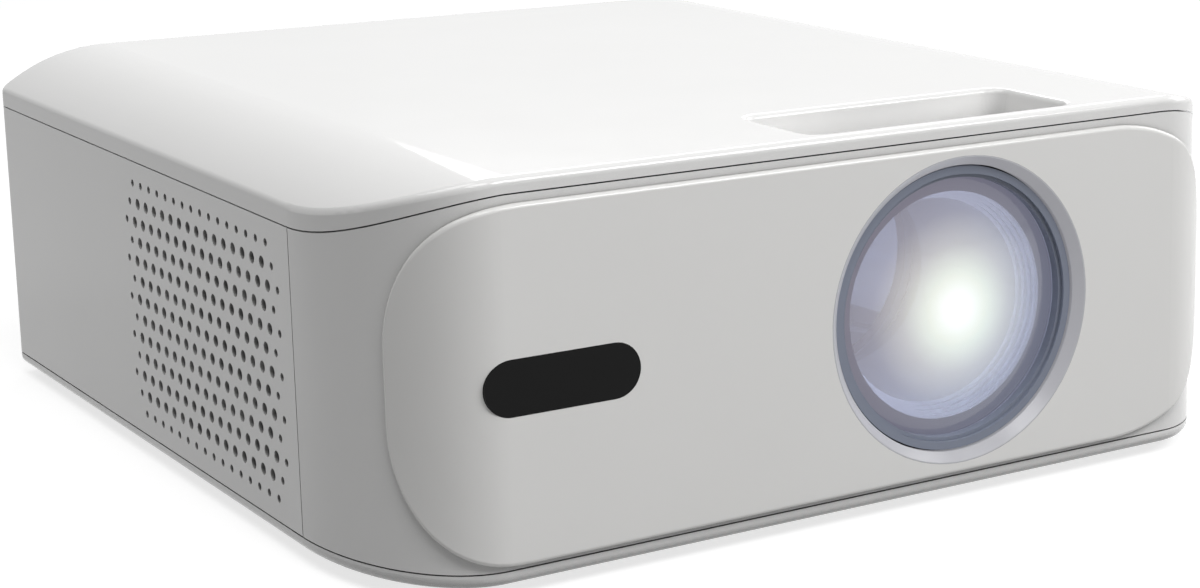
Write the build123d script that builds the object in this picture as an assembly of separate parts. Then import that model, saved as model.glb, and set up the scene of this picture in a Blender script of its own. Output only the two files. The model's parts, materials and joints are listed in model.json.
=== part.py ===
from build123d import *
import math
import os

# A table-top projector with a disc drive. Millimetres. The lens looks along -Y, +X is on the
# viewer's right, +Z is up. The origin is the middle of the bounding box, at the feet.

# ---- Housing ----
body_w = 250.0            # width over the side panels
body_d = 265.0            # depth from the front band to the rear panel
foot_h = 3.0              # what the rubber feet stand proud of the base
base_edge = 3.5           # height of the base cover's rim, up to the lower seam
side_h = 74.5             # lower seam to lid seam, along the sides
arch_r = 46.8             # radius of the lid seam's arch at each side
arch_run = 31.3           # how far in from the side the arch becomes flat
lid_edge = 3.7            # height of the lid's rim above its seam
lid_fillet = 1.9
base_fillet = 2.8
wall = 2.5
corner_x = 28.3           # the front corners are quarter ellipses, this wide
corner_y = 50.7           # and this deep
rear_r = 3.0              # radius of the rear corners
panel_seam = 49.8         # from the front to the seam between band and side panel
seam = 0.35               # open joint between housing pieces
lip_h = 3.0               # lips that locate the panels inside
lip_t = 1.5
lip_gap = 0.1

# ---- Front fascia and sensor window ----
fascia_proud = 1.8
fascia_gap = 0.1          # glue line between fascia and band
fascia_edge = 1.1         # rounding of the fascia's rim
fascia_low = 1.3          # lower seam to the fascia's lower edge
fascia_h = 83.0
fascia_left = -6.0        # ends of the fascia, measured across the corners at 45 degrees
fascia_right = 5.9
fascia_corner_h = 33.0    # its corners are quarter ellipses
fascia_corner_left = 30.0
fascia_corner_right = 28.0
window_w = 39.5
window_h = 13.3
window_x = 42.6           # from the left side of the body
window_fit = 0.08
window_seat = 2.5         # how far the fascia's window overlaps the band
eye_board_w = 30.0        # receiver board behind the window
eye_board_h = 16.0
eye_pitch = 8.0
eye_r = 2.0
eye_l = 3.0

# ---- Recess in the lid ----
recess_w = 80.0
recess_d = 33.0
recess_front = 5.0        # from the front band's face
recess_depth = 8.5
recess_r = 5.0
recess_draft = 12.0       # degrees
recess_wall = 2.0         # thickness of its walls and floor
recess_rim = 1.6
recess_slot_gap = 0.7     # focus ring to the slot in the recess's floor

# ---- Vent holes ----
vent_rows = 13
vent_row_max = 18
vent_pitch = 6.0
vent_back = 108.5         # from the front band's face to the middle of the vents
vent_big = 1.5            # radii
vent_small = 1.0

# ---- Optics ----
lens_x = 153.9            # lens axis, from the left side of the body
lens_up = 42.9            # lens axis, above the lower seam
opening_r = 39.0          # opening in the fascia
bezel_r = 36.4            # clear radius inside the bezel
bezel_fit = 0.05
bezel_land = 0.3
bezel_short = 0.2         # back of the bezel to the inside of the band
sleeve_r = 36.0
sleeve_wall = 2.0
sleeve_lead = 1.0         # sleeve in front of the barrel
barrel_fit = 0.05
barrel_inset = 3.8        # from the fascia's face to the front of the barrel
barrel_stop = 0.4         # barrel to the back of its sleeve at the end of the travel
focus_travel = 6.0
focus_angle = 120.0       # turn of the ring that moves the barrel by its travel, in degrees
pin_r = 2.0
pin_angle = -50.0         # guide pin, in degrees from the top
pin_fit = 0.1
pin_spare = 0.4           # slot beyond the pin at each end of the travel
groove_depth = 1.6        # helical groove in the focus ring, where the pin runs
ring_r = 41.0
ring_w = 14.0
ring_fit = 0.05
ring_flutes = 48
ring_flute_depth = 0.9
front_lens_r = 33.0
front_lens_rim = 2.6
front_lens_dome = 4.0
front_lens_in = 2.4       # rim of the front lens behind the barrel's front
rear_lens_r = 24.0
rear_lens_rim = 3.0
rear_lens_dome = 2.5
rear_lens_in = 7.0        # seat of the rear lens before the barrel's back
lens_rest = 0.4           # a dome's rim to the seat that its crown rests on
lens_shoulder = 1.5
lens_fit = 0.05
baffle_r = 28.7           # stepped baffle behind the front lens, at its widest
baffle_steps = 5
baffle_step_r = 0.95
baffle_step_l = 1.6
box_wall = 2.0
box_half = 34.0           # half the optical box's width and height
box_right = 37.0          # from the lens axis to the right end of the optical box
optics_gap = 5.0          # optical box to the disc drive
mirror_t = 2.0
mirror_l = 84.0
mirror_gap = 2.0          # over and under the mirror
lcd_in = 54.0             # from the left end of the optical box
plate_t = 2.0             # LCD panel and flat lenses
plate_gap = 8.0
plate_fit = 0.1
plate_groove = 1.0        # grooves of the plates, into the box's walls
condenser_in = 17.0       # from the left end of the optical box
condenser_r = 22.0
condenser_rim = 3.0
condenser_dome = 7.0
led_window = 46.0         # square opening in the box's left end
led_board_w = 44.0
led_r = 9.0
led_h = 1.5
light_hole_r = 28.0

# ---- Fans and heatsink ----
fan_size = 60.0
fan_t = 15.0
fan_bore = 28.5
fan_hub_r = 15.0
fan_tip_r = 27.5
fan_blades = 7
fan_blade_t = 1.4
fan_blade_chord = 16.0
fan_blade_tilt = 50.0     # degrees
fan_plate_t = 2.0         # plate and struts that carry the motor
fan_strut_w = 4.0
fan_shaft_r = 1.5
fan_shaft_in = 3.0        # end of the shaft to the fan's open side
fan_rotor_gap = 0.5       # plate to rotor
fan_rotor_in = 1.0        # rotor to the fan's open side
fan_gap = 0.2             # between a fan and the panel in front of it
sink_base = 5.0
sink_fins = 13
sink_fin_t = 1.2
sink_fin_l = 17.95
fan_clear = 0.5           # rear fan to the drive below it and to the inlet beside it
fan_hole_in = 5.0         # corner holes, from the edges of the fan
fan_hole_r = 2.1
fan_pin_fit = 0.1
fan_pin_l = 6.0
fan_drop = 1.5            # lamp fan below the lens axis
grille_bars = 9
grille_pitch = 6.0
grille_gap = 3.2

# ---- Disc drive ----
drive_z = 12.0            # underside of the drive
drive_h = 17.0
drive_back = 1.9          # drive to the rear panel
drive_sheet = 1.0
bezel_t = 3.0
bezel_margin = 0.5        # bezel over the drive housing, all round
slot_gap = 0.4            # bezel to the slot in the side panel
bezel_gap = 0.5           # drive housing to the bezel
tray_stop = 3.0           # back of the closed tray to the back of the drive
tray_overlap = 10.0       # tray left in the drive when it is out
tray_side = 1.7           # tray beside the disc well
tray_plate = 3.6
tray_h = 10.6
rail_w = 3.0
rail_gap = 0.3
rail_short = 2.0          # rails shorter than the tray's travel
disc_well_r = 61.0
disc_well_depth = 2.0
tray_front = 1.5          # tray's rim in front of the disc well
tray_back = 6.5           # and behind it
small_well_r = 40.5       # step for 80 mm discs
small_well_depth = 0.8
window_spare = 2.0        # pickup window beyond the sled at the end of its travel
window_front = 16.5
window_y = 18.6
frame_t = 1.0
frame_margin = 3.0        # recess of the frame round the tray's windows
frame_fit = 0.1
frame_rim = 6.0           # metal left round the frame's opening
frame_rib = 4.0           # and beside the motor and a rod
motor_r = 12.0
motor_h = 5.8
spindle_r = 1.5
spindle_up = 2.0          # top of the spindle over the disc well
turntable_r = 15.0
turntable_up = 0.6        # disc seat over the disc well
hub_r = 7.4
hub_h = 1.8               # straight part of the hub over the seat
hub_cone = 1.2
pickup_in = 20.0          # sled to spindle, at rest
pickup_travel = 34.0
sled_l = 14.0
sled_h = 5.0
sled_arm = 4.0            # sled beyond its guide rods
pickup_lens_r = 2.5
pickup_lens_top_r = 1.6
pickup_lens_h = 1.0
pickup_lens_x = 4.0       # from the middle of the sled
nut_w = 4.0
nut_h = 2.0
nut_gap = 0.1
rod_r = 1.5
rod_y = 14.0              # guide rod to the spindle, across
rod_seat_back = 2.4       # how far a rod's ends sit in the tray's walls
rod_seat_front = 0.9
screw_r = 1.5
screw_y = 20.5
screw_bay = 3.0           # tray's bay beyond the lead screw
sled_motor_l = 14.0
sled_motor_w = 10.0
sled_motor_gap = 0.1
rod_fit = 0.03
running_fit = 0.05

# ---- Boards, ports and small parts ----
board_t = 1.6
board_gap = 12.0          # main board over the drive
board_left = 13.0         # its edges from the left and the front of the drive
board_front = 7.0
board_rear = 3.0          # its rear edge from the rear panel
board_hole_in = 6.0       # screws, from the board's edges
board_hole_rear = 16.0
board_hole_fit = 0.2
# chips on the main board: left edge, front edge, width, depth, height
board_chips = ((38.0, 42.0, 22.0, 22.0, 1.6), (73.0, 40.0, 14.0, 14.0, 1.2),
               (73.0, 67.0, 12.0, 18.0, 1.2), (26.0, 77.0, 16.0, 10.0, 2.2))
standoff_r = 3.0
standoff_hole = 7.0       # depth of its tapped hole
board_screw_l = 6.0
board_screw_head_r = 2.8
board_screw_head_h = 1.8
port_reach = 0.3          # how far the ports stay behind the rear face
port_gap = 0.4
port_sheet = 0.6
port_back = 2.0           # wall at the back of a port
tongue_in = 2.0           # contact tongue behind the mouth of a port
tongue_share = 0.64       # of the port's width
# From the right side of the body to the middle of each port
hdmi_sides = (107.0, 89.0)
usb_sides = (71.0, 54.0)
jack_sides = (40.5, 30.5)
hdmi_w, hdmi_h, hdmi_l = 15.0, 6.0, 12.0
hdmi_chamfer_w, hdmi_chamfer_h = 1.9, 2.2
hdmi_tongue = 1.2
usb_w, usb_h, usb_l = 14.0, 7.0, 14.0
usb_tongue = 1.8
usb_tongue_up = 1.2       # its tongue lies above the middle
jack_w = 7.0
jack_l = 12.0
jack_r = 1.8
power_board_z = 12.0
inlet_side = 30.0         # middle of the inlet, from the left side of the body
inlet_l = 20.0
inlet_w = 22.0
inlet_h = 17.0
inlet_z = 22.0
inlet_lobe_r = 4.4        # the mouth is a figure of eight
inlet_waist = 5.6
inlet_deep = 9.0
inlet_pin = 4.3           # pins and lobes, to each side of the middle
inlet_pin_r = 1.2
power_side = 17.0         # power board, from the left side of the body
power_gap = 15.0          # from the drive beside it and the fan behind it
power_front = 10.0        # from the optical box
power_hole_in = 5.0       # screws, from the board's edges
coil_side = 20.0          # middle of the transformer, from the board's left edge
coil_front = 45.0         # and from its front edge
coil_core = (28.0, 32.0, 20.0)
coil_winding = (34.0, 20.0, 13.0)
coil_winding_up = 4.0
cap_side = 10.0           # capacitors from the board's right edge
cap_front = 20.0
cap_pitch = 16.0
cap_sizes = ((7.0, 24.0), (6.0, 20.0), (5.0, 16.0), (5.0, 16.0))   # radius and height
speaker_r = 18.0
speaker_edge = 2.0        # width of its rim
speaker_rim_t = 4.0
speaker_cone_r = 5.0      # flat middle of the cone
speaker_cone_in = 5.0
speaker_magnet_r = 9.0
speaker_magnet_in = 8.0   # magnet's front and back, from the rim's face
speaker_back = 14.0
speaker_front = 4.0       # in front of the light path
speaker_slots = 7
speaker_slot_l = 28.0
speaker_slot_h = 2.0
speaker_pitch = 4.5
intake_slots = 9
intake_pitch = 6.0
intake_w = 2.5
button_side = 18.0        # from the right side of the body
button_r = 5.0
button_fit = 0.1
button_travel = 0.8
button_up = 7.0           # over the main board
button_flange = 1.0       # flange inside the rear panel
button_flange_gap = 0.3
button_flange_back = 2.4  # back of the flange to the panel
plunger_r = 1.5
plunger_l = 2.0
switch_w = 12.0
switch_l = 8.0
switch_over = 4.0         # top of the switch over the plunger's axis
eject_w = 12.0
eject_h = 4.0
eject_travel = 0.6
eject_floor = 0.1
eject_side = 38.0         # from the middle of the tray
eject_up = 4.0            # above the drive's underside
pinhole_r = 0.7
bezel_edge = 0.5
foot_r = 7.0
foot_recess = 0.6
foot_fit = 0.1
foot_inset_x = 34.0       # feet from the sides of the body
foot_inset_y = 32.0       # and from its front and rear
tilt_x = -40.0
tilt_back = 27.6          # behind the front band
tilt_r = 8.0
tilt_stem_r = 4.0
tilt_pad_t = 2.0
tilt_gap = 0.3            # pad to the base
tilt_short = 1.0          # top of the stem below the top of its sleeve
tilt_sleeve_t = 3.0
tilt_travel = 12.0
bush_r = 6.0
bush_boss_t = 2.5
bush_thread_r = 3.175     # 1/4-20 tripod thread
bush_h = 8.0
screw_shank_r = 1.5
screw_head_r = 3.0
screw_head_h = 2.0
screw_fit = 0.05
screw_bite = 12.0
post_r = 4.0
post_hole_fit = 0.2       # holes in the base round a screw and its head
# Screw posts, in X from a side of the body or the drive's left end, and in Y
post_front_left = (17.0, 8.0)     # in front of the back of the lens sleeve
post_front_right = (19.0, 42.0)   # in front of the speaker
post_rear_left = (11.0, 21.4)     # from the rear of the body
post_middle = (8.0, 8.0)          # in front of the rear fan
post_right = (13.0, 9.0)          # in front of the drive
head_deep = 0.5           # screw head behind the base's underside
standoff_screw_hole = 5.2
post_split = 30.0         # height where the lid's bosses meet the base's posts
drive_support_in = 12.0   # posts under the drive, from its ends
drive_support_y = 50.0    # and from its middle
box_support_in = 8.0      # posts under the optical box, from its left end
box_support_right = 20.0  # from its right end, and from the lens axis
box_support_y = 24.0      # and from its middle
fan_rib_side = 20.0       # ribs under the lamp fan
fan_rib_in = 1.5
fan_rib_t = 3.0
intake_in = 20.0          # intake slots, from the power board's front and rear edges
bush_x = 0.0
bush_front = 3.0          # in front of the drive
tilt_overlap = 7.0        # stem left in its sleeve when the foot is out

# ---- Places worked out from the sizes above ----
half_w = body_w / 2
y_front = (fascia_proud - body_d) / 2
y_rear = y_front + body_d
y_face = y_front - fascia_proud
z_seam = foot_h + base_edge
z_side = z_seam + side_h
arch_rise = arch_r - math.sqrt(arch_r ** 2 - arch_run ** 2)
z_flat = z_side + arch_rise
z_top = z_flat + lid_edge
z_floor = foot_h + wall
lip_in = wall + lip_gap + lip_t
panel_in_x = half_w - wall

# Disc drive, from the disc outward
drive_w = 2 * (disc_well_r + tray_side + rail_gap + drive_sheet)
drive_y = y_rear - wall - drive_back - drive_w / 2
drive_y0 = drive_y - drive_w / 2
drive_top = drive_z + drive_h
bezel_x = half_w - bezel_t
tray_len = tray_front + 2 * disc_well_r + tray_back
tray_travel = tray_len - tray_overlap
tray_x0 = bezel_x - tray_len
disc_x = bezel_x - tray_front - disc_well_r
tray_z = drive_z + drive_sheet + rail_gap
tray_top = tray_z + tray_h
tray_w = drive_w - 2 * (drive_sheet + rail_gap)
tray_low_w = tray_w - 2 * (rail_w + rail_gap)
well_z = tray_top - disc_well_depth
window_back = pickup_in + pickup_travel + sled_l / 2 + window_spare
rod_z = tray_z + frame_t + rail_gap + sled_h / 2
drive_x0 = tray_x0 - tray_stop
drive_x1 = bezel_x - bezel_gap

# Optics: the lens from the front, the light path from the drive, the lamp from the left side
axis_x = lens_x - half_w
axis_z = z_seam + lens_up
ring_y = y_front + recess_front + recess_d / 2
recess_bottom = z_top - recess_depth - recess_wall
optics_y = drive_y0 - optics_gap - box_half
sleeve_front = y_face + barrel_inset - sleeve_lead
sleeve_back = optics_y - box_half
barrel_front = y_face + barrel_inset
barrel_back = sleeve_back - box_wall - focus_travel - barrel_stop
fan_x = -(panel_in_x - fan_gap)
sink_x = fan_x + fan_t + seam + sink_fin_l
box_left_x = sink_x + sink_base
box_x1 = axis_x + box_right
condenser_x = box_left_x + condenser_in
lcd_x = box_left_x + lcd_in
window_cx = window_x - half_w

# Rear wall, boards and small parts
inlet_x = inlet_side - half_w
rear_fan_x = inlet_x + inlet_w / 2 + fan_clear + fan_size / 2
rear_fan_z = drive_top + fan_clear + fan_size / 2
rear_fan_y = y_rear - wall - fan_gap - fan_t
board_z = drive_top + board_gap
board_x0, board_x1 = drive_x0 + board_left, panel_in_x - lip_in
board_y0, board_y1 = drive_y0 + board_front, y_rear - wall - board_rear
port_z = board_z + board_t
front_rim_y = barrel_front + front_lens_in
button_x = half_w - button_side
button_z = port_z + button_up
power_x0, power_x1 = power_side - half_w, drive_x0 - power_gap
power_y0, power_y1 = optics_y + box_half + power_front, rear_fan_y - power_gap
eject_y = drive_y + eject_side
eject_z = drive_z + eject_up
speaker_y = optics_y - speaker_front
tilt_y = y_front + tilt_back
tilt_top = foot_h + tilt_travel + tilt_overlap
bush_y = drive_y0 - bush_front


# ---- Shapes used all over ----
def block(x0, x1, y0, y1, z0, z1):
    """Box between two corners."""
    low = (Align.MIN, Align.MIN, Align.MIN)
    return Pos(x0, y0, z0) * Box(x1 - x0, y1 - y0, z1 - z0, align=low)


def rod(axis, a, b, r, start, end):
    """Cylinder along an axis; a and b are its place on the other two axes, in XYZ order."""
    turned = {"x": Pos(start, a, b) * Rot(0, 90, 0),
              "y": Pos(a, start, b) * Rot(-90, 0, 0),
              "z": Pos(a, b, start)}[axis]
    return turned * Cylinder(r, end - start, align=(Align.CENTER, Align.CENTER, Align.MIN))


def tube(axis, a, b, r_out, r_in, start, end):
    """Cylinder with a bore right through."""
    return rod(axis, a, b, r_out, start, end) - rod(axis, a, b, r_in, start - 1, end + 1)


def loop_face(corners):
    """Flat face from a closed list of corners."""
    return make_face(Polyline(*corners, close=True))


def front_plane(y):
    """Plane at y whose own x and y are the model's X and Z, and whose normal is -Y."""
    return Plane(origin=(0, y, 0), x_dir=(1, 0, 0), z_dir=(0, -1, 0))


def side_plane(x):
    """Plane at x whose own x and y are the model's Y and Z, and whose normal is +X."""
    return Plane(origin=(x, 0, 0), x_dir=(0, 1, 0), z_dir=(1, 0, 0))


def front_prism(face, y0, y1):
    """A face drawn in X and Z, made solid from y0 to y1."""
    return extrude(front_plane(y1) * face, y1 - y0)


def side_prism(face, x0, x1):
    """A face drawn in Y and Z, made solid from x0 to x1."""
    return extrude(side_plane(x0) * face, x1 - x0)


def turned_y(points, x, z):
    """Ring about an axis along Y through x and z. Points are (radius, y)."""
    face = Plane(origin=(0, 0, 0), x_dir=(1, 0, 0), z_dir=(0, 0, 1)) * loop_face(points)
    return Pos(x, 0, z) * revolve(face, Axis.Y)


def turned_z(points, x, y):
    """Ring about an upright axis through x and y. Points are (radius, z)."""
    face = Plane(origin=(0, 0, 0), x_dir=(1, 0, 0), z_dir=(0, -1, 0)) * loop_face(points)
    return Pos(x, y, 0) * revolve(face, Axis.Z)


def turned_x(points, y, z):
    """Ring about an axis along X through y and z. Points are (radius, x)."""
    face = loop_face([(x, r) for r, x in points])
    return Pos(0, y, z) * revolve(face, Axis.X)


def save(shape, name):
    export_step(shape, "parts/" + name + ".step")


def save_group(solids, name):
    """Separate solids in one node."""
    save(Compound(children=[s for shape in solids for s in shape.solids()]), name)


# ---- Housing forms ----
def plan(inset):
    """The body's outline from above, moved inward by inset."""
    hw = half_w - inset
    yf, yb = y_front + inset, y_rear - inset
    rx, ry = corner_x - inset, corner_y - inset
    rr = max(rear_r - inset, 0.5)
    cx, cy = half_w - corner_x, y_front + corner_y
    left = EllipticalCenterArc((-cx, cy), rx, ry, 180)
    right = EllipticalCenterArc((cx, cy), rx, ry, 270)
    rear_right = CenterArc((hw - rr, yb - rr), rr, 0, 90)
    rear_left = CenterArc((-hw + rr, yb - rr), rr, 90, 90)
    corners = [left, right, rear_right, rear_left]
    sides = [Line(a @ 1, b @ 0) for a, b in zip(corners, corners[1:] + corners[:1])]
    return make_face(corners + sides)


def plan_prism(inset, z0, z1):
    return extrude(Pos(0, 0, z0) * plan(inset), z1 - z0)


def under_arch(level):
    """Everything below the lid seam's arch, raised by level."""
    r = arch_r + level
    cx, cz = half_w - arch_run, z_flat - arch_r
    reach = 60.0          # degrees from the top of the arch, past the side walls
    right = CenterArc((cx, cz), r, 90 - reach, reach)
    left = CenterArc((-cx, cz), r, 90, reach)
    low = -50.0
    foot_r_pt, foot_l_pt = (right @ 0).X, (left @ 1).X
    outline = [right, Line(right @ 1, left @ 0), left,
               Line(left @ 1, (foot_l_pt, low)), Line((foot_l_pt, low), (foot_r_pt, low)),
               Line((foot_r_pt, low), right @ 0)]
    return front_prism(make_face(outline), y_front - 10, y_rear + 10)


def wall_ring(outer, inner, z0, z1):
    """Upright wall between two insets of the body's outline."""
    return plan_prism(outer, z0, z1) - plan_prism(inner, z0 - 1, z1 + 1)


arch = under_arch(0)
shell = wall_ring(0, wall, z_seam + seam, z_top) & under_arch(-seam)


def lens_bore(r, y0, y1):
    return rod("y", axis_x, axis_z, r, y0, y1)


def recess_mouth(w, d, r, z):
    """Rounded rectangle over the focus ring."""
    return Pos(axis_x, ring_y, z) * RectangleRounded(w, d, r)


def plan_rectangle(w, d, r, z0, z1):
    return extrude(recess_mouth(w, d, r, z0), z1 - z0)


def make_top_cover():
    lid = plan_prism(0, z_side - 5, z_top + 5) & under_arch(lid_edge)
    rim = [e for e in lid.edges() if e.center().Z > z_side - 4
           and abs(e.tangent_at(0.5).Z) < 0.8]
    lid = fillet(rim, lid_fillet) - arch
    lid -= plan_prism(lip_in, z_side - 9, z_top + 9) & under_arch(lid_edge - wall)
    lip = wall_ring(wall + lip_gap, lip_in, z_side - 9, z_top) & under_arch(0.5)
    lid += lip - under_arch(-lip_h)
    lid += plan_rectangle(recess_w + 2 * recess_wall, recess_d + 2 * recess_wall,
                          recess_r + recess_wall, recess_bottom, z_top - 0.5)
    lid -= extrude(recess_mouth(recess_w, recess_d, recess_r, z_top), -recess_depth,
                   taper=recess_draft)
    rim = [e for e in lid.edges() if abs(e.center().Z - z_top) < 0.01
           and abs(e.center().X - axis_x) < recess_w / 2 + 0.1
           and abs(e.center().Y - ring_y) < recess_d / 2 + 0.1]
    lid = fillet(rim, recess_rim)
    half = math.sqrt(ring_r ** 2 - (recess_bottom - axis_z) ** 2) + recess_slot_gap
    reach = ring_w / 2 + recess_slot_gap
    lid -= block(axis_x - half, axis_x + half, ring_y - reach, ring_y + reach,
                 recess_bottom - 1, z_top - recess_rim)
    return lid


def make_base_cover():
    base = plan_prism(0, foot_h, z_seam)
    bottom = [e for e in base.edges() if abs(e.center().Z - foot_h) < 0.01]
    base = fillet(bottom, base_fillet)
    base -= plan_prism(lip_in, z_floor, z_seam + 1)
    base += wall_ring(wall + lip_gap, lip_in, z_floor, z_seam + lip_h)
    return base


def make_front_band():
    band = shell & block(-half_w, half_w, y_front, y_front + panel_seam - seam / 2, 0, z_top)
    band -= lens_bore(opening_r, y_front - 1, y_front + wall + 1)
    slot = SlotOverall(window_w - 2 * window_seat, window_h - 2 * window_seat)
    band -= front_prism(Pos(window_cx, axis_z) * slot, y_front - 1, y_front + wall + 1)
    return band


def across_corner(side, q_end, width):
    """Fascia outline at one front corner, cut through at 45 degrees to the front.

    q is the distance across the corner from the point where the flat sides would meet.
    """
    z0, z1 = z_seam + fascia_low, z_seam + fascia_low + fascia_h
    h, q, far = fascia_corner_h, side * (q_end + width), side * body_w
    low = EllipticalCenterArc((q, z0 + h), width, h, 180 if side > 0 else 270)
    high = EllipticalCenterArc((q, z1 - h), width, h, 90 if side > 0 else 0)
    first, last = (high, low) if side > 0 else (low, high)
    end = first @ 0
    outline = [first, Line(first @ 1, last @ 0), last,
               Line(last @ 1, (far, (last @ 1).Y)), Line((far, (last @ 1).Y), (far, end.Y)),
               Line((far, end.Y), end)]
    plane = Plane(origin=(-side * half_w, y_front, 0), x_dir=(1, -side, 0), z_dir=(-side, -1, 0))
    return extrude(plane * make_face(outline), body_w, both=True)


def make_front_fascia():
    plate = plan_prism(-fascia_proud, 0, z_top) & block(-half_w, half_w, y_face - 1,
                                                        y_front + corner_y, 0, z_top)
    plate &= across_corner(1, fascia_left, fascia_corner_left)
    plate &= across_corner(-1, fascia_right, fascia_corner_right)
    rim = [e for e in plate.edges() if e.center().Y < y_front + corner_y / 2
           and abs(e.tangent_at(0.5).Y) < 0.95]
    plate = fillet(rim, fascia_edge)
    plate -= plan_prism(-fascia_gap, -1, z_top + 1)
    plate -= lens_bore(opening_r, y_face - 1, y_front + 1)
    slot = SlotOverall(window_w, window_h)
    plate -= front_prism(Pos(window_cx, axis_z) * slot, y_face - 1, y_front + 1)
    return plate


def make_sensor_window():
    pill = SlotOverall(window_w - 2 * window_fit, window_h - 2 * window_fit)
    pane = front_prism(Pos(window_cx, axis_z) * pill, y_face, y_front)
    inner = SlotOverall(window_w - 2 * (window_seat + window_fit),
                        window_h - 2 * (window_seat + window_fit))
    pane += front_prism(Pos(window_cx, axis_z) * inner, y_front - 0.1, y_front + wall)
    return pane


def make_ir_receiver():
    y = y_front + wall + seam
    w, h = eye_board_w / 2, eye_board_h / 2
    board = block(window_cx - w, window_cx + w, y, y + board_t, axis_z - h, axis_z + h)
    for x in (window_cx - eye_pitch / 2, window_cx + eye_pitch / 2):
        board += rod("y", x, axis_z, eye_r, y + board_t, y + board_t + eye_l)
    return board


def round_hole(y, z, r):
    """Wire of one vent hole, in the side panel's own plane."""
    return Wire.make_circle(r, Plane(origin=(y, z, 0)))


def vent_holes():
    """Staggered rows; the end holes of each row and the first and last rows are small."""
    holes = []
    row_pitch = vent_pitch * math.sqrt(3) / 2
    z_mid = z_seam + side_h / 2
    for row in range(vent_rows):
        outer_row = row in (0, vent_rows - 1)
        count = vent_row_max - row % 2 - (2 if outer_row else 0)
        z = z_mid + (row - (vent_rows - 1) / 2) * row_pitch
        for k in range(count):
            y = y_front + vent_back + (k - (count - 1) / 2) * vent_pitch
            small = outer_row or k in (0, count - 1)
            holes.append(round_hole(y, z, vent_small if small else vent_big))
    return holes


def side_sheet(x0, cuts):
    """Flat side wall with openings, trimmed to the body's outline and to the lid seam."""
    y0, y1 = y_front + panel_seam + seam / 2, y_rear
    frame = Wire.make_polygon([(y0, z_seam + seam, 0), (y1, z_seam + seam, 0),
                               (y1, z_flat, 0), (y0, z_flat, 0)], close=True)
    sheet = side_prism(Face(frame, cuts), x0, x0 + wall)
    return sheet & plan_prism(0, 0, z_top) & under_arch(-seam)


def make_left_side_panel():
    return side_sheet(-half_w, vent_holes())


def rect_wire(y0, y1, z0, z1):
    return Wire.make_polygon([(y0, z0, 0), (y1, z0, 0), (y1, z1, 0), (y0, z1, 0)], close=True)


def make_right_side_panel():
    half = drive_w / 2 + bezel_margin + slot_gap
    edge = bezel_margin + slot_gap
    cuts = [rect_wire(drive_y - half, drive_y + half, drive_z - edge, drive_z + drive_h + edge)]
    for k in range(speaker_slots):
        z = axis_z + (k - (speaker_slots - 1) / 2) * speaker_pitch
        cuts.append(rect_wire(speaker_y - speaker_slot_l / 2, speaker_y + speaker_slot_l / 2,
                              z - speaker_slot_h / 2, z + speaker_slot_h / 2))
    return side_sheet(half_w - wall, cuts)


def make_rear_panel():
    half = half_w - wall - seam
    panel = wall_ring(0, wall, z_seam + seam, z_top) & under_arch(-seam)
    panel &= block(-half, half, y_rear - wall - 1, y_rear + 1, 0, z_top)
    through = (y_rear - wall - 1, y_rear + 1)
    panel -= block(inlet_x - inlet_w / 2 - port_gap, inlet_x + inlet_w / 2 + port_gap, *through,
                   inlet_z - inlet_h / 2 - port_gap, inlet_z + inlet_h / 2 + port_gap)
    for k in range(grille_bars):
        z = rear_fan_z + (k - (grille_bars - 1) / 2) * grille_pitch
        reach = math.sqrt(fan_bore ** 2 - (z - rear_fan_z) ** 2) - 1
        panel -= block(rear_fan_x - reach, rear_fan_x + reach, *through,
                       z - grille_gap / 2, z + grille_gap / 2)
    for outline in port_outlines(port_gap):
        panel -= front_prism(outline, *through)
    panel -= rod("y", button_x, button_z, button_r + button_fit, *through)
    hole = fan_size / 2 - fan_hole_in
    for x in (rear_fan_x - hole, rear_fan_x + hole):
        for z in (rear_fan_z - hole, rear_fan_z + hole):
            panel += rod("y", x, z, fan_hole_r - fan_pin_fit, y_rear - wall - fan_gap - fan_pin_l,
                         y_rear - wall + 0.1)
    return panel


# ---- Lens ----
def make_lens_bezel():
    y1 = y_front + wall - bezel_short
    r_out = opening_r - bezel_fit
    cone = r_out - bezel_land - bezel_r
    return turned_y([(r_out, y_face), (r_out, y1), (bezel_r, y1), (bezel_r, y_face + cone),
                     (bezel_r + cone, y_face)], axis_x, axis_z)


def radial_pin(r, start, end, y):
    """Cylinder that stands out from the lens axis at the guide pin's angle."""
    return Pos(axis_x, 0, axis_z) * Rot(0, pin_angle, 0) * rod("z", 0, y, r, start, end)


def make_lens_sleeve():
    """Fixed tube with a straight slot that keeps the barrel's pin from turning."""
    r_in = sleeve_r - sleeve_wall
    sleeve = turned_y([(sleeve_r, sleeve_front), (sleeve_r, sleeve_back),
                       (light_hole_r, sleeve_back), (light_hole_r, sleeve_back - box_wall),
                       (r_in, sleeve_back - box_wall), (r_in, sleeve_front)], axis_x, axis_z)
    half_w_slot = pin_r + pin_fit
    half_l = focus_travel / 2 + pin_r + pin_spare
    slot = block(-half_w_slot, half_w_slot, ring_y - half_l, ring_y + half_l, r_in - 1,
                 sleeve_r + 1)
    return sleeve - Pos(axis_x, 0, axis_z) * Rot(0, pin_angle, 0) * slot


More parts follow.
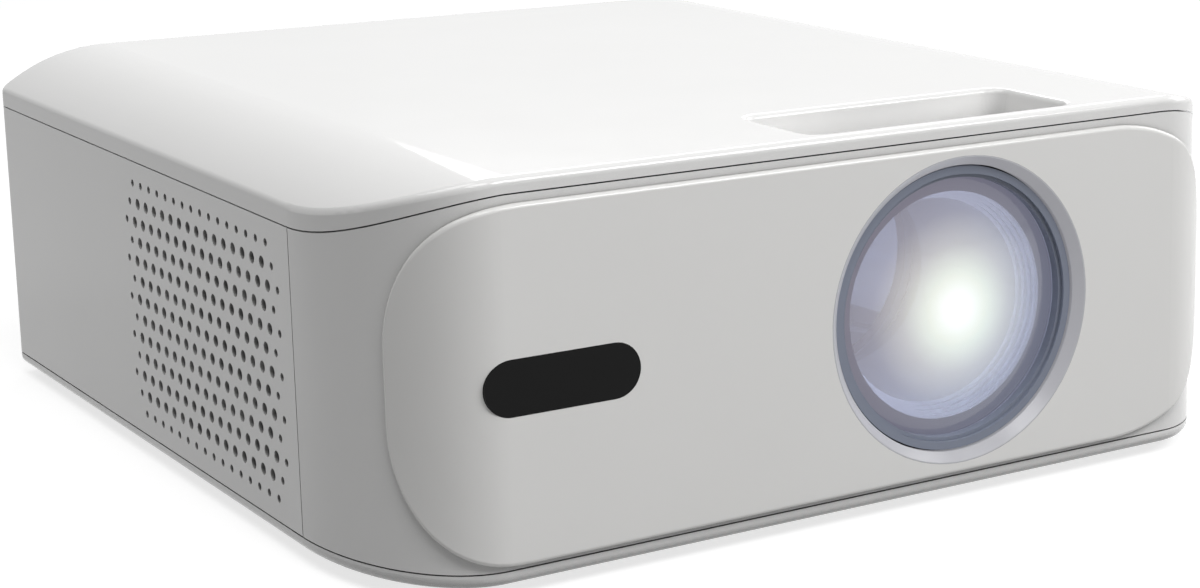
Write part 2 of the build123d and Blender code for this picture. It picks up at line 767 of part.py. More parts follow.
def make_lens_barrel():
    """Sliding tube: a seat for the front lens, a stepped baffle, and a seat for the rear lens."""
    r = sleeve_r - sleeve_wall - barrel_fit
    front_r, rear_r_in = front_lens_r + lens_fit, rear_lens_r + lens_fit
    front_seat = front_rim_y + front_lens_rim
    rear_seat = barrel_back - rear_lens_in
    baffle = []
    for k in range(baffle_steps):
        step_r, step_y = baffle_r - k * baffle_step_r, front_seat + k * baffle_step_l
        baffle += [(step_r, step_y), (step_r, step_y + baffle_step_l)]
    profile = [(front_r, barrel_front), (front_r, front_seat), *baffle,
               (rear_lens_r - lens_shoulder, rear_seat), (rear_r_in, rear_seat),
               (rear_r_in, barrel_back), (r, barrel_back), (r, barrel_front)]
    barrel = turned_y(profile, axis_x, axis_z)
    reach = sleeve_r + ring_fit + groove_depth - pin_fit
    return barrel + radial_pin(pin_r, r - 1, reach, ring_y - focus_travel / 2)


def cap_arc(r, rim, apex, along_x):
    """Half of a lens's round face: from its rim at radius r to its apex on the axis."""
    bulge = abs(apex - rim)
    big = (r * r + bulge * bulge) / (2 * bulge)
    half = math.asin(r / big) / 2
    sag = big * (1 - math.cos(half))
    mid_r, mid = big * math.sin(half), apex + (sag if rim > apex else -sag)
    points = [(r, rim), (mid_r, mid), (0, apex)]
    if along_x:
        points = [(b, a) for a, b in points]
    return ThreePointArc(*points)


def lens_element(r, y_rim, rim, dome):
    """Round lens, domed at the front and flat at the back."""
    back = y_rim + rim
    arc = cap_arc(r, y_rim, y_rim - dome, False)
    edges = [arc, Line((0, y_rim - dome), (0, back)), Line((0, back), (r, back)),
             Line((r, back), (r, y_rim))]
    return Pos(axis_x, 0, axis_z) * revolve(make_face(edges), Axis.Y)


def make_front_lens():
    return lens_element(front_lens_r, front_rim_y, front_lens_rim, front_lens_dome)


def make_rear_lens():
    return lens_element(rear_lens_r, barrel_back - rear_lens_in + lens_rest, rear_lens_rim,
                        rear_lens_dome)


def focus_groove():
    """Left-hand helix in the ring's bore that pushes the barrel's pin along as the ring turns."""
    bore = sleeve_r + ring_fit
    turn = math.radians(pin_angle)
    y = ring_y - focus_travel / 2
    helix = Helix(focus_travel * 360 / focus_angle, focus_travel, bore, lefthand=True)
    section = Plane(origin=helix @ 0, x_dir=(1, 0, 0), z_dir=helix % 0)
    cut = sweep(section * Rectangle(2 * groove_depth, 2 * (pin_r + pin_fit)), helix,
                is_frenet=True)
    for end, angle in ((0, 0), (focus_travel, -focus_angle)):
        cut += Rot(0, 0, angle) * rod("x", 0, end, pin_r + pin_fit, bore - groove_depth,
                                      bore + groove_depth)
    frame = Plane(origin=(axis_x, y, axis_z), x_dir=(math.sin(turn), 0, math.cos(turn)),
                  z_dir=(0, 1, 0))
    return frame * cut


def make_focus_ring():
    corners = []
    for k in range(ring_flutes):
        for part, r in ((0.1, ring_r), (0.5, ring_r), (0.6, ring_r - ring_flute_depth),
                        (1.0, ring_r - ring_flute_depth)):
            a = 2 * math.pi * (k + part) / ring_flutes
            corners.append((axis_x + r * math.cos(a), axis_z + r * math.sin(a)))
    ring = front_prism(loop_face(corners), ring_y - ring_w / 2, ring_y + ring_w / 2)
    ring -= lens_bore(sleeve_r + ring_fit, ring_y - ring_w, ring_y + ring_w)
    return ring - focus_groove()


# ---- Light box ----
def light_box_outline():
    y0, y1 = optics_y - box_half, optics_y + box_half
    fold = math.sqrt(2) * (mirror_t + plate_fit + box_wall)
    return loop_face([(box_left_x, y0), (box_x1, y0), (box_x1, optics_y + fold - box_right),
                      (axis_x + fold - box_half, y1), (box_left_x, y1)])


def plate_places():
    return (lcd_x - plate_gap, lcd_x, lcd_x + plate_gap)


def make_optical_box():
    z0, z1 = axis_z - box_half, axis_z + box_half - box_wall
    outline = light_box_outline()
    box = extrude(Pos(0, 0, z0) * outline, z1 - z0)
    inner = offset(outline, -box_wall, kind=Kind.INTERSECTION)
    box -= extrude(Pos(0, 0, z0 + box_wall) * inner, z1 - z0)
    y0, y1 = optics_y - box_half, optics_y + box_half
    half_t, half_w_led, groove = condenser_rim / 2, led_window / 2, plate_groove
    holder = block(condenser_x - half_t, condenser_x + half_t, y0 + 1, y1 - 1, z0 + 1, z1)
    box += holder - rod("x", optics_y, axis_z, condenser_r + lens_fit,
                        condenser_x - condenser_rim, condenser_x + condenser_rim)
    box -= lens_bore(light_hole_r, y0 - 1, y0 + box_wall + 1)
    box -= block(box_left_x - 1, box_left_x + box_wall + 1, optics_y - half_w_led,
                 optics_y + half_w_led, axis_z - half_w_led, axis_z + half_w_led)
    for x in plate_places():
        t = plate_t / 2 + plate_fit
        box -= block(x - t, x + t, y0 + groove, y1 - groove, z0 + groove, z1 + 1)
    return box


def make_optical_cover():
    z1 = axis_z + box_half
    return extrude(Pos(0, 0, z1 - box_wall) * light_box_outline(), box_wall)


def flat_plate(x):
    reach = box_half - plate_groove - plate_fit
    return block(x - plate_t / 2, x + plate_t / 2, optics_y - reach, optics_y + reach,
                 axis_z - reach, axis_z + box_half - box_wall - plate_fit)


def make_mirror():
    half_l, half_h = mirror_l / 2, box_half - box_wall - mirror_gap
    plate = block(0, mirror_t, -half_l, half_l, -half_h, half_h)
    return Pos(axis_x, optics_y, axis_z) * Rot(0, 0, 45) * plate


def make_condenser_lens():
    r = condenser_r
    x0, x1 = condenser_x - condenser_rim / 2, condenser_x + condenser_rim / 2
    apex = x1 + condenser_dome
    edges = [cap_arc(r, x1, apex, True), Line((apex, 0), (x0, 0)), Line((x0, 0), (x0, r)),
             Line((x0, r), (x1, r))]
    return Pos(0, optics_y, axis_z) * revolve(make_face(edges), Axis.X)


def make_led_module():
    half, face = led_board_w / 2, box_left_x + board_t
    board = block(box_left_x, face, optics_y - half, optics_y + half, axis_z - half,
                  axis_z + half)
    return board + rod("x", optics_y, axis_z, led_r, face, face + led_h)


def make_led_heatsink():
    sink = block(sink_x, box_left_x, optics_y - box_half, optics_y + box_half,
                 axis_z - box_half, axis_z + box_half)
    tip = fan_x + fan_t + seam
    pitch = (2 * box_half - sink_fin_t) / (sink_fins - 1)
    for k in range(sink_fins):
        y = optics_y - box_half + k * pitch
        sink += block(tip, sink_x + 0.1, y, y + sink_fin_t, axis_z - box_half,
                      axis_z + box_half)
    return sink


# ---- Fans, drawn about +Z with the hub's support at z = 0 ----
def fan_frame():
    body = Box(fan_size, fan_size, fan_t, align=(Align.CENTER, Align.CENTER, Align.MIN))
    body -= rod("z", 0, 0, fan_bore, -1, fan_t + 1)
    half = fan_strut_w / 2
    for k in range(3):
        strut = block(0, fan_bore + 0.5, -half, half, 0, fan_plate_t)
        body += Rot(0, 0, 120 * k + 30) * strut
    body += rod("z", 0, 0, fan_hub_r, 0, fan_plate_t)
    body += rod("z", 0, 0, fan_shaft_r, fan_plate_t, fan_t - fan_shaft_in)
    hole = fan_size / 2 - fan_hole_in
    for x in (-hole, hole):
        for y in (-hole, hole):
            body -= rod("z", x, y, fan_hole_r, -1, fan_t + 1)
    return body


def fan_rotor():
    z0, z1 = fan_plate_t + fan_rotor_gap, fan_t - fan_rotor_in
    rotor = rod("z", 0, 0, fan_hub_r, z0, z1)
    t, chord = fan_blade_t / 2, fan_blade_chord / 2
    blade = Rot(fan_blade_tilt, 0, 0) * block(fan_hub_r - 2, fan_tip_r + 3, -t, t, -chord, chord)
    for k in range(fan_blades):
        rotor += Rot(0, 0, 360 * k / fan_blades) * Pos(0, 0, (z0 + z1) / 2) * blade
    rotor &= rod("z", 0, 0, fan_tip_r, z0, z1)
    return rotor - rod("z", 0, 0, fan_shaft_r + running_fit, 0, fan_t - fan_shaft_in + 0.1)


def lamp_fan_place():
    return Pos(fan_x, optics_y, axis_z - fan_drop) * Rot(0, 90, 0)


def rear_fan_place():
    return Pos(rear_fan_x, y_rear - wall - fan_gap, rear_fan_z) * Rot(90, 0, 0)


# ---- Disc drive ----
def make_drive_housing():
    s, half = drive_sheet, drive_w / 2
    case = block(drive_x0, drive_x1, drive_y - half, drive_y + half, drive_z, drive_z + drive_h)
    return case - block(drive_x0 + s, drive_x1 + 1, drive_y - half + s, drive_y + half - s,
                        drive_z + s, drive_z + drive_h - s)


def tray_rails():
    """Two telescopic rails, between the tray and the sides of the drive."""
    top = tray_top - tray_plate - rail_gap
    rails = []
    for side in (-1, 1):
        outer, inner = side * tray_w / 2, side * (tray_w / 2 - rail_w)
        rails.append(block(tray_x0, tray_x0 + tray_travel - rail_short, drive_y + min(outer, inner),
                           drive_y + max(outer, inner), tray_z, top))
    return rails


def pickup_window():
    """Ends of the tray's opening over the pickup's travel."""
    return disc_x - window_back, disc_x + window_front


def make_disc_tray():
    under = tray_top - tray_plate
    tray = block(tray_x0, bezel_x, drive_y - tray_w / 2, drive_y + tray_w / 2, under, tray_top)
    tray += block(tray_x0, bezel_x, drive_y - tray_low_w / 2, drive_y + tray_low_w / 2,
                  tray_z, under + 0.1)
    tray -= rod("z", disc_x, drive_y, disc_well_r, well_z, tray_top + 1)
    tray -= rod("z", disc_x, drive_y, small_well_r, well_z - small_well_depth, tray_top)
    x0, x1 = pickup_window()
    tray -= block(x0, x1, drive_y - window_y, drive_y + window_y, tray_z - 1, tray_top)
    tray -= block(x0, x1, drive_y, drive_y + screw_y + screw_bay, tray_z - 1, under)
    tray -= block(x0 - frame_margin, x1 + frame_margin, drive_y - window_y - frame_margin,
                  drive_y + screw_y + screw_bay + frame_margin, tray_z - 1,
                  tray_z + frame_t + running_fit)
    x0, x1 = rod_ends()
    for side in (-1, 1):
        tray -= rod("x", drive_y + side * rod_y, rod_z, rod_r + rod_fit, x0 - 0.1, x1 + 0.1)
    tray -= rod("x", drive_y + screw_y, rod_z, screw_r + running_fit, x0 - 0.2, x1 + 1)
    x0, half = sled_motor_x() - sled_motor_gap, sled_motor_w / 2 + sled_motor_gap
    return tray - block(x0, x0 + sled_motor_l + 2 * sled_motor_gap, drive_y + screw_y - half,
                        drive_y + screw_y + half, tray_z - 1, under)


def make_traverse_frame():
    """Sheet that closes the tray's underside and carries the motors."""
    x0, x1 = pickup_window()
    margin = frame_margin - frame_fit
    x0, x1 = x0 - margin, x1 + margin
    y0, y1 = drive_y - window_y - margin, drive_y + screw_y + screw_bay + margin
    plate = block(x0, x1, y0, y1, tray_z, tray_z + frame_t)
    return plate - block(x0 + frame_rim, disc_x - motor_r - frame_rib, y0 + frame_rim,
                         drive_y + rod_y - frame_rib, tray_z - 1, tray_z + frame_t + 1)


def make_tray_bezel():
    half = drive_w / 2 + bezel_margin
    face = block(bezel_x, half_w, drive_y - half, drive_y + half, drive_z - bezel_margin,
                 drive_z + drive_h + bezel_margin)
    edges = [e for e in face.edges() if abs(e.center().X - half_w) < 0.01]
    face = fillet(edges, bezel_edge)
    hole = (eject_w / 2 + button_fit, eject_h / 2 + button_fit)
    face -= block(bezel_x + eject_floor, half_w + 1, eject_y - hole[0], eject_y + hole[0],
                  eject_z - hole[1], eject_z + hole[1])
    return face - rod("x", eject_y - eject_w, eject_z, pinhole_r, bezel_x - 1, half_w + 1)


def make_eject_button():
    back = bezel_x + eject_floor + eject_travel + button_fit
    return block(back, half_w, eject_y - eject_w / 2, eject_y + eject_w / 2,
                 eject_z - eject_h / 2, eject_z + eject_h / 2)


def make_spindle_motor():
    z0 = tray_z + frame_t
    motor = rod("z", disc_x, drive_y, motor_r, z0, z0 + motor_h)
    return motor + rod("z", disc_x, drive_y, spindle_r, z0 + motor_h, well_z + spindle_up)


def make_turntable():
    """Seat for a disc, with a hub that fits the disc's hole and has a cone on top."""
    z0 = tray_z + frame_t + motor_h + rail_gap
    seat = well_z + turntable_up
    top = seat + hub_h + hub_cone
    table = turned_z([(0, z0), (turntable_r, z0), (turntable_r, seat), (hub_r, seat),
                      (hub_r, seat + hub_h), (hub_r - hub_cone, top), (0, top)], disc_x, drive_y)
    return table - rod("z", disc_x, drive_y, spindle_r + running_fit, z0 - 1,
                       well_z + spindle_up + 0.1)


def make_pickup_sled():
    x, z0 = disc_x - pickup_in, tray_z + frame_t + rail_gap
    reach = rod_y + sled_arm
    sled = block(x - sled_l / 2, x + sled_l / 2, drive_y - reach, drive_y + reach, z0,
                 z0 + sled_h)
    sled -= rod("x", drive_y + rod_y, rod_z, rod_r + running_fit, x - sled_l, x + sled_l)
    sled -= block(x - sled_l, x + sled_l, drive_y - reach - 1, drive_y - rod_y + rod_r,
                  rod_z - rod_r - running_fit, rod_z + rod_r + running_fit)
    return sled + block(x - nut_w / 2, x + nut_w / 2, drive_y + reach - 0.1,
                        drive_y + screw_y - screw_r - nut_gap, rod_z - nut_h / 2,
                        rod_z + nut_h / 2)


def make_pickup_lens():
    x, z0 = disc_x - pickup_in - pickup_lens_x, tray_z + frame_t + rail_gap + sled_h
    z1 = z0 + pickup_lens_h
    z2 = z1 + (pickup_lens_r - pickup_lens_top_r)
    return turned_z([(0, z0), (pickup_lens_r, z0), (pickup_lens_r, z1), (pickup_lens_top_r, z2),
                     (0, z2)], x, drive_y)


def rod_ends():
    """Ends of the guide rods, in the tray's walls beyond the window."""
    x0, x1 = pickup_window()
    return x0 - rod_seat_back, x1 + rod_seat_front


def make_lead_screw():
    x0, x1 = rod_ends()
    return rod("x", drive_y + screw_y, rod_z, screw_r, x0, x1)


def guide_rods():
    x0, x1 = rod_ends()
    return [rod("x", drive_y + side * rod_y, rod_z, rod_r, x0, x1) for side in (-1, 1)]


def sled_motor_x():
    """End of the motor that faces the lead screw."""
    return rod_ends()[1] + sled_motor_gap


def make_sled_motor():
    x0, half = sled_motor_x(), sled_motor_w / 2
    z0 = tray_z + frame_t
    return block(x0, x0 + sled_motor_l, drive_y + screw_y - half, drive_y + screw_y + half, z0,
                 z0 + motor_h)


# ---- Boards, ports and small parts ----
def board_corners():
    return [(x, y) for x in (board_x0 + board_hole_in, board_x1 - board_hole_in)
            for y in (board_y0 + board_hole_in, board_y1 - board_hole_rear)]


def power_corners():
    return [(x, y) for x in (power_x0 + power_hole_in, power_x1 - power_hole_in)
            for y in (power_y0 + power_hole_in, power_y1 - power_hole_in)]


def make_main_board():
    board = block(board_x0, board_x1, board_y0, board_y1, board_z, board_z + board_t)
    for x, y in board_corners():
        board -= rod("z", x, y, screw_shank_r + board_hole_fit, board_z - 1, board_z + 3)
    for x, y, w, d, h in board_chips:
        board += block(board_x0 + x, board_x0 + x + w, board_y0 + y, board_y0 + y + d,
                       board_z + board_t, board_z + board_t + h)
    return board


def board_standoffs():
    return [rod("z", x, y, standoff_r, drive_top, board_z)
            - rod("z", x, y, screw_shank_r + screw_fit, board_z - standoff_hole, board_z + 1)
            for x, y in board_corners()]


def make_power_board():
    z = power_board_z
    board = block(power_x0, power_x1, power_y0, power_y1, z, z + board_t)
    for x, y in power_corners():
        board -= rod("z", x, y, screw_shank_r + board_hole_fit, z - 1, z + 3)
    return board


def make_transformer():
    z = power_board_z + board_t
    x, y = power_x0 + coil_side, power_y0 + coil_front
    w, d, h = coil_core
    core = block(x - w / 2, x + w / 2, y - d / 2, y + d / 2, z, z + h)
    w, d, h = coil_winding
    z += coil_winding_up
    return core + block(x - w / 2, x + w / 2, y - d / 2, y + d / 2, z, z + h)


def capacitors():
    z = power_board_z + board_t
    return [rod("z", power_x1 - cap_side, power_y0 + cap_front + cap_pitch * k, r, z, z + h)
            for k, (r, h) in enumerate(cap_sizes)]


def port_outline(side, w, h, grow, chamfer_w=0.0, chamfer_h=0.0):
    """Outline of one port on the rear wall; the lower corners may be cut off."""
    x = half_w - side
    x0, x1, z0, z1 = x - w / 2 - grow, x + w / 2 + grow, port_z - grow, port_z + h + grow
    if chamfer_w == 0:
        return loop_face([(x0, z0), (x1, z0), (x1, z1), (x0, z1)])
    return loop_face([(x0 + chamfer_w, z0), (x1 - chamfer_w, z0), (x1, z0 + chamfer_h), (x1, z1),
                      (x0, z1), (x0, z0 + chamfer_h)])


def hdmi_outline(side, grow):
    return port_outline(side, hdmi_w, hdmi_h, grow, hdmi_chamfer_w, hdmi_chamfer_h)


def port_outlines(grow):
    """All the ports, each grown all round."""
    outlines = [hdmi_outline(side, grow) for side in hdmi_sides]
    outlines += [port_outline(side, usb_w, usb_h, grow) for side in usb_sides]
    return outlines + [port_outline(side, jack_w, jack_w, grow) for side in jack_sides]


def port_shell(outer, inner, side, w, length, tongue, tongue_z):
    """Socket of thin sheet, open to the rear, with a contact tongue inside."""
    mouth = y_rear - port_reach
    x = half_w - side
    sheet = front_prism(outer, mouth - length, mouth)
    sheet -= front_prism(inner, mouth - length + port_back, mouth + 1)
    half = w * tongue_share / 2
    return sheet + block(x - half, x + half, mouth - length + 1, mouth - tongue_in,
                         tongue_z - tongue / 2, tongue_z + tongue / 2)


def hdmi_ports():
    return [port_shell(hdmi_outline(side, 0), hdmi_outline(side, -port_sheet), side, hdmi_w,
                       hdmi_l, hdmi_tongue, port_z + hdmi_h / 2) for side in hdmi_sides]


def usb_ports():
    return [port_shell(port_outline(side, usb_w, usb_h, 0),
                       port_outline(side, usb_w, usb_h, -port_sheet), side, usb_w, usb_l,
                       usb_tongue, port_z + usb_h / 2 + usb_tongue_up) for side in usb_sides]


def audio_jacks():
    mouth = y_rear - port_reach
    return [front_prism(port_outline(side, jack_w, jack_w, 0), mouth - jack_l, mouth)
            - rod("y", half_w - side, port_z + jack_w / 2, jack_r, mouth - jack_l + 1, mouth + 1)
            for side in jack_sides]


def make_ac_inlet():
    """Mains inlet for a two-pole lead: a figure-of-eight mouth with two pins."""
    y1 = y_rear - port_reach
    w, h = inlet_w / 2, inlet_h / 2
    body = block(inlet_x - w, inlet_x + w, y1 - inlet_l, y1, inlet_z - h, inlet_z + h)
    mouth = Rectangle(2 * inlet_pin, inlet_waist)
    mouth += [Pos(side * inlet_pin, 0) * Circle(inlet_lobe_r) for side in (-1, 1)]
    body -= front_prism(Pos(inlet_x, inlet_z) * mouth, y1 - inlet_deep, y1 + 1)
    for side in (-1, 1):
        body += rod("y", inlet_x + side * inlet_pin, inlet_z, inlet_pin_r, y1 - inlet_deep - 1,
                    y1 - 2)
    return body


def make_power_button():
    inside = y_rear - wall
    back = inside - button_flange_back
    cap = rod("y", button_x, button_z, button_r, back, y_rear)
    cap += rod("y", button_x, button_z, button_r + button_flange, back,
               inside - button_flange_gap)
    return cap + rod("y", button_x, button_z, plunger_r, back - plunger_l, back + 0.1)


def make_power_switch():
    y1 = y_rear - wall - button_flange_back - plunger_l - button_travel - button_fit
    return block(button_x - switch_w / 2, button_x + switch_w / 2, y1 - switch_l, y1,
                 board_z + board_t, button_z + switch_over)


def make_speaker():
    x1 = half_w - wall - seam
    magnet_r, cone_r = speaker_magnet_r, speaker_cone_r
    return turned_x([(0, x1 - speaker_back), (magnet_r, x1 - speaker_back),
                     (magnet_r, x1 - speaker_magnet_in), (speaker_r, x1 - speaker_rim_t),
                     (speaker_r, x1), (speaker_r - speaker_edge, x1),
                     (cone_r, x1 - speaker_cone_in), (0, x1 - speaker_cone_in)],
                    speaker_y, axis_z)


# ---- Feet, bush and screws ----
def foot_places():
    x = half_w - foot_inset_x
    return [(-x, y_front + foot_inset_y), (x, y_front + foot_inset_y),
            (-x, y_rear - foot_inset_y), (x, y_rear - foot_inset_y)]


def rubber_feet():
    return [rod("z", x, y, foot_r, 0, foot_h + foot_recess) for x, y in foot_places()]


def post_places():
    """Clear of what stands on the base: the optics, the speaker, the fan and the drive."""
    return [(post_front_left[0] - half_w, sleeve_back - post_front_left[1]),
            (half_w - post_front_right[0], speaker_y - post_front_right[1]),
            (post_rear_left[0] - half_w, y_rear - post_rear_left[1]),
            (drive_x0 - post_middle[0], rear_fan_y - post_middle[1]),
            (half_w - post_right[0], drive_y0 - post_right[1])]


def case_screws():
    top = post_split + screw_bite
    head_z = foot_h + head_deep
    return [rod("z", x, y, screw_head_r, head_z, head_z + screw_head_h)
            + rod("z", x, y, screw_shank_r, head_z + 1, top) for x, y in post_places()]


def board_screws():
    places = [(x, y, board_z + board_t) for x, y in board_corners()]
    places += [(x, y, power_board_z + board_t) for x, y in power_corners()]
    return [rod("z", x, y, board_screw_head_r, z, z + board_screw_head_h)
            + rod("z", x, y, screw_shank_r, z - board_screw_l, z + 1) for x, y, z in places]


def make_tilt_foot():
    top = foot_h - tilt_gap
    pad = rod("z", tilt_x, tilt_y, tilt_r, top - tilt_pad_t, top)
    return pad + rod("z", tilt_x, tilt_y, tilt_stem_r, top - 0.1, tilt_top - tilt_short)


def make_tripod_bush():
    return tube("z", bush_x, bush_y, bush_r, bush_thread_r, foot_h, foot_h + bush_h)


def drive_supports():
    return [(x, drive_y + side * drive_support_y) for side in (-1, 1)
            for x in (drive_x0 + drive_support_in, drive_x1 - drive_support_in)]


def box_supports():
    """Posts under the optical box: two at the lamp, two beside the lens."""
    y0, y1 = optics_y - box_support_y, optics_y + box_support_y
    return [(box_left_x + box_support_in, y0), (box_left_x + box_support_in, y1),
            (box_x1 - box_support_right, y0), (axis_x - box_support_right, y1)]


def base_details(base):
    """Everything that stands on the base cover's floor, and what is cut through it."""
    for x, y in post_places():
        base += rod("z", x, y, post_r, foot_h + 0.1, post_split)
        base -= rod("z", x, y, screw_head_r + post_hole_fit, foot_h - 1,
                    foot_h + head_deep + screw_head_h)
        base -= rod("z", x, y, screw_shank_r + post_hole_fit, foot_h, post_split + 1)
    for x, y in drive_supports():
        base += rod("z", x, y, post_r, z_floor - 0.1, drive_z)
    for x, y in box_supports():
        base += rod("z", x, y, post_r, z_floor - 0.1, axis_z - box_half)
    for x, y in power_corners():
        base += rod("z", x, y, standoff_r, z_floor - 0.1, power_board_z)
        base -= rod("z", x, y, screw_shank_r + screw_fit, power_board_z - standoff_screw_hole,
                    power_board_z + 1)
    for side in (-1, 1):
        y = optics_y + side * fan_rib_side
        base += block(fan_x + fan_rib_in, fan_x + fan_t - fan_rib_in, y - fan_rib_t / 2,
                      y + fan_rib_t / 2, z_floor - 0.1,
                      axis_z - fan_drop - fan_size / 2 - fan_gap)
    base += rod("z", tilt_x, tilt_y, tilt_stem_r + tilt_sleeve_t, foot_h, tilt_top)
    base -= rod("z", tilt_x, tilt_y, tilt_stem_r + running_fit, foot_h - 1, tilt_top + 1)
    base += rod("z", bush_x, bush_y, bush_r + bush_boss_t, foot_h, foot_h + bush_h)
    base -= rod("z", bush_x, bush_y, bush_r + rod_fit, foot_h - 1, foot_h + bush_h + 1)
    for x, y in foot_places():
        base -= rod("z", x, y, foot_r + foot_fit, foot_h - 1, foot_h + foot_recess)
    for k in range(intake_slots):
        x = (power_x0 + power_x1) / 2 + (k - (intake_slots - 1) / 2) * intake_pitch
        base -= block(x - intake_w / 2, x + intake_w / 2, power_y0 + intake_in,
                      power_y1 - intake_in, 0, z_floor + 1)
    return base


def lid_details(lid):
    """Screw bosses that hang from the lid down to the base's posts."""
    inside = under_arch(lid_edge - 0.6)
    for x, y in post_places():
        lid += rod("z", x, y, post_r, post_split, z_top + 1) & inside
        lid -= rod("z", x, y, screw_shank_r + screw_fit, post_split - 1,
                   post_split + screw_bite + 1)
    return lid


def build():
    """Each node's name with its solids."""
    frame, rotor = fan_frame(), fan_rotor()
    low_x, mid_x, high_x = plate_places()
    parts = {
        "top_cover": [lid_details(make_top_cover())],
        "base_cover": [base_details(make_base_cover())],
        "front_band": [make_front_band()],
        "left_side_panel": [make_left_side_panel()],
        "right_side_panel": [make_right_side_panel()],
        "rear_panel": [make_rear_panel()],
        "front_fascia": [make_front_fascia()],
        "sensor_window": [make_sensor_window()],
        "ir_receiver": [make_ir_receiver()],
        "lens_bezel": [make_lens_bezel()],
        "lens_sleeve": [make_lens_sleeve()],
        "lens_barrel": [make_lens_barrel()],
        "front_lens": [make_front_lens()],
        "rear_lens": [make_rear_lens()],
        "focus_ring": [make_focus_ring()],
        "optical_box": [make_optical_box()],
        "optical_cover": [make_optical_cover()],
        "collimator_lens": [flat_plate(low_x)],
        "lcd_panel": [flat_plate(mid_x)],
        "field_lens": [flat_plate(high_x)],
        "mirror": [make_mirror()],
        "condenser_lens": [make_condenser_lens()],
        "led_module": [make_led_module()],
        "led_heatsink": [make_led_heatsink()],
        "lamp_fan_frame": [lamp_fan_place() * frame],
        "lamp_fan_rotor": [lamp_fan_place() * rotor],
        "rear_fan_frame": [rear_fan_place() * frame],
        "rear_fan_rotor": [rear_fan_place() * rotor],
        "drive_housing": [make_drive_housing()],
        "tray_rails": tray_rails(),
        "disc_tray": [make_disc_tray()],
        "tray_bezel": [make_tray_bezel()],
        "eject_button": [make_eject_button()],
        "traverse_frame": [make_traverse_frame()],
        "spindle_motor": [make_spindle_motor()],
        "turntable": [make_turntable()],
        "pickup_sled": [make_pickup_sled()],
        "pickup_lens": [make_pickup_lens()],
        "lead_screw": [make_lead_screw()],
        "sled_motor": [make_sled_motor()],
        "guide_rods": guide_rods(),
        "main_board": [make_main_board()],
        "board_standoffs": board_standoffs(),
        "power_board": [make_power_board()],
        "transformer": [make_transformer()],
        "capacitors": capacitors(),
        "hdmi_ports": hdmi_ports(),
        "usb_ports": usb_ports(),
        "audio_jacks": audio_jacks(),
        "ac_inlet": [make_ac_inlet()],
        "power_button": [make_power_button()],
        "power_switch": [make_power_switch()],
        "speaker": [make_speaker()],
        "rubber_feet": rubber_feet(),
        "tilt_foot": [make_tilt_foot()],
        "tripod_bush": [make_tripod_bush()],
        "case_screws": case_screws(),
        "board_screws": board_screws(),
    }
    return parts


os.makedirs("parts", exist_ok=True)
for node, solids in build().items():
    save_group(solids, node)
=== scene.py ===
import json
import math

import bmesh
import bpy
from mathutils import Matrix, Vector


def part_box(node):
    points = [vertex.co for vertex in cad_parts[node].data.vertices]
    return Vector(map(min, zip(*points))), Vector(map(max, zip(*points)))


# Looks of a table-top projector. Metres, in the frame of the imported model: the lens looks along
# -Y, +X is on the viewer's right, +Z is up, and the feet stand at z = 0.

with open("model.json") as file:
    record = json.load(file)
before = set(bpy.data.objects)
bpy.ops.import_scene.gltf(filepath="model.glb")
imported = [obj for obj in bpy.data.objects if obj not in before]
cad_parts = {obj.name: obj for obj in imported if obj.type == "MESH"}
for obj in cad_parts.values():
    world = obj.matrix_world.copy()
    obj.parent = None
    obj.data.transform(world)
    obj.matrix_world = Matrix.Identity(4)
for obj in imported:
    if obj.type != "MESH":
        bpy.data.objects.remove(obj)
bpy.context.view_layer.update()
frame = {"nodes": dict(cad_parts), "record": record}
nodes = frame["nodes"]
MM = 0.001

# ---- Camera: the photograph's viewpoint ----
PHOTO_W, PHOTO_H = 1200, 588
CAMERA_PLACE = (-0.3491, -0.6434, 0.2041)
CAMERA_YAW = math.radians(35.25)
CAMERA_PITCH = math.radians(12.007)
CAMERA_ROLL = -0.00284        # radians
FOCAL_PX = 2633.34            # focal length in photo pixels
CENTRE_U, CENTRE_V = 905.32, 233.19   # where the view axis meets the photo
SENSOR = 36.0                 # width in mm


def make_camera():
    data = bpy.data.cameras.new("camera")
    data.sensor_fit = "HORIZONTAL"
    data.sensor_width = SENSOR
    data.lens = FOCAL_PX / PHOTO_W * SENSOR
    data.shift_x = (PHOTO_W / 2 - CENTRE_U) / PHOTO_W
    data.shift_y = (CENTRE_V - PHOTO_H / 2) / PHOTO_W
    data.clip_start, data.clip_end = 0.01, 50.0
    camera = bpy.data.objects.new("camera", data)
    bpy.context.scene.collection.objects.link(camera)
    turn = Matrix.Rotation(-CAMERA_YAW, 4, "Z")
    turn = turn @ Matrix.Rotation(math.pi / 2 - CAMERA_PITCH, 4, "X")
    turn = turn @ Matrix.Rotation(CAMERA_ROLL, 4, "Z")
    camera.matrix_world = Matrix.Translation(CAMERA_PLACE) @ turn
    bpy.context.scene.camera = camera


# ---- Materials ----
PLASTIC_IOR = 1.5
GLASS_IOR = 1.5
GAP_REACH = 6 * MM            # width up to which painted shade darkens a gap or inner corner
BRUSH_DEPTH = 2e-6            # of the lines in brushed metal
PORT_MOUTH = 1.9 * MM         # depth of a port's plated mouth, before its contact block
GLOW_TINT = (1.0, 1.0, 1.08)  # of a material's faint painted glow


def new_material(name):
    """A material, its node tree and its Principled shader."""
    mat = bpy.data.materials.new(name)
    mat.use_nodes = True
    tree = mat.node_tree
    return mat, tree, tree.nodes["Principled BSDF"]


def add(tree, kind, **values):
    """Adds a node; values go to its properties, or to its inputs by name."""
    node = tree.nodes.new(kind)
    for key, value in values.items():
        if key in node.inputs:
            node.inputs[key].default_value = value
        else:
            setattr(node, key, value)
    return node


